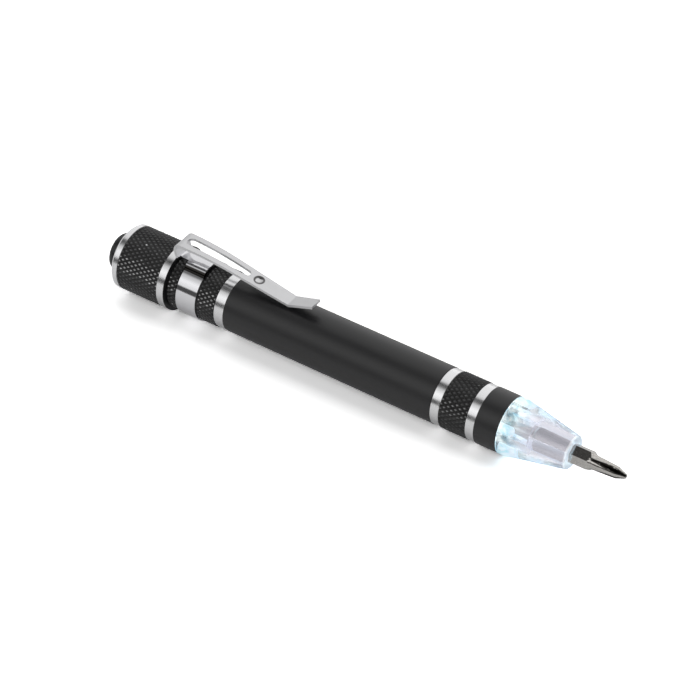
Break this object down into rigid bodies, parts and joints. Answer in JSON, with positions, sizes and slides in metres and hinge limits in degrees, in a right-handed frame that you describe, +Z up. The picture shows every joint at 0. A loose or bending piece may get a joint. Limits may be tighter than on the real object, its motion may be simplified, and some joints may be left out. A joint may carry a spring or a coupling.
{
  "type": "pocket screwdriver",
  "caption": "Pocket screwdriver: knurled handle with pocket clip and push button, lit clear nose holding a reversible hexagon bit, spare bits and cells inside.",
  "frame": {"origin": "on the tool's axis at the face of the clear nose, where the bit enters", "axes": "+X along the axis from the handle to the bit's tip, +Z up through the pocket clip"},
  "size_m": [0.1354, 0.0158, 0.02],
  "materials": {
    "black_aluminium": "satin black anodised, rings turned bright",
    "clip_steel": "plated",
    "seal_rubber": "matt",
    "white_plastic": "moulded",
    "contact_brass": "turned",
    "black_plastic": "moulded, satin",
    "bit_steel": "hardened, plain",
    "spring_steel": "drawn wire",
    "cell_can": "plain can",
    "clear_plastic": "clear, polished",
    "magnet_steel": "plated",
    "board_green": "coated",
    "lamp_clear": "clear, lit"
  },
  "bodies": {
    "handle": {"barrel": "black_aluminium", "pocket_clip": "clip_steel", "cap_seal": "seal_rubber", "rod_bush": "white_plastic", "contact_rod": "contact_brass", "bit_magazine": "black_plastic", "spare_bit_1": "bit_steel", "spare_bit_2": "bit_steel", "spare_bit_3": "bit_steel", "front_spring": "spring_steel"},
    "cartridge": {"cell_cartridge": "white_plastic", "cell_1": "cell_can", "cell_2": "cell_can", "cell_3": "cell_can", "cell_spring": "spring_steel"},
    "cap": {"tail_cap": "black_aluminium", "switch_housing": "white_plastic", "contact_washer": "contact_brass", "button_spring": "spring_steel"},
    "button": {"tail_button": "black_plastic", "contact_pin": "contact_brass"},
    "front_lead": {"front_contact": "contact_brass"},
    "front": {"front_sleeve": "black_aluminium", "light_nose": "clear_plastic", "lamp_carrier": "white_plastic", "contact_rivet": "contact_brass", "socket_magnet": "magnet_steel", "lamp_board": "board_green", "lamp_1": "lamp_clear", "lamp_2": "lamp_clear", "lamp_3": "lamp_clear"},
    "bit": {"driver_bit": "bit_steel"}
  },
  "joints": [
    {"name": "cartridge_travel", "type": "slide", "parent": "handle", "child": "cartridge", "axis": [-1, 0, 0], "range_m": [0, 0.00562]},
    {"name": "cap_turn", "type": "hinge", "parent": "cartridge", "child": "cap", "pos_m": [-0.11, 0, 0], "axis": [-1, 0, 0], "range_deg": [0, 2700]},
    {"name": "button_press", "type": "slide", "parent": "cap", "child": "button", "axis": [1, 0, 0], "range_m": [0, 0.0012], "stiffness_N_per_m": 400, "springref_m": -0.002, "deforming": ["button_spring"]},
    {"name": "front_travel", "type": "slide", "parent": "handle", "child": "front_lead", "axis": [1, 0, 0], "range_m": [0, 0.00525], "deforming": ["front_spring"]},
    {"name": "front_turn", "type": "hinge", "parent": "front_lead", "child": "front", "pos_m": [-0.03, 0, 0], "axis": [1, 0, 0], "range_deg": [0, 2520]},
    {"name": "bit_pull", "type": "slide", "parent": "front", "child": "bit", "axis": [1, 0, 0], "range_m": [0, 0.0175]}
  ],
  "couplings": [
    {"joint": "cartridge_travel", "follows": "cap_turn", "m_per_rad": 0.00011936},
    {"joint": "front_travel", "follows": "front_turn", "m_per_rad": 0.00011936}
  ]
}
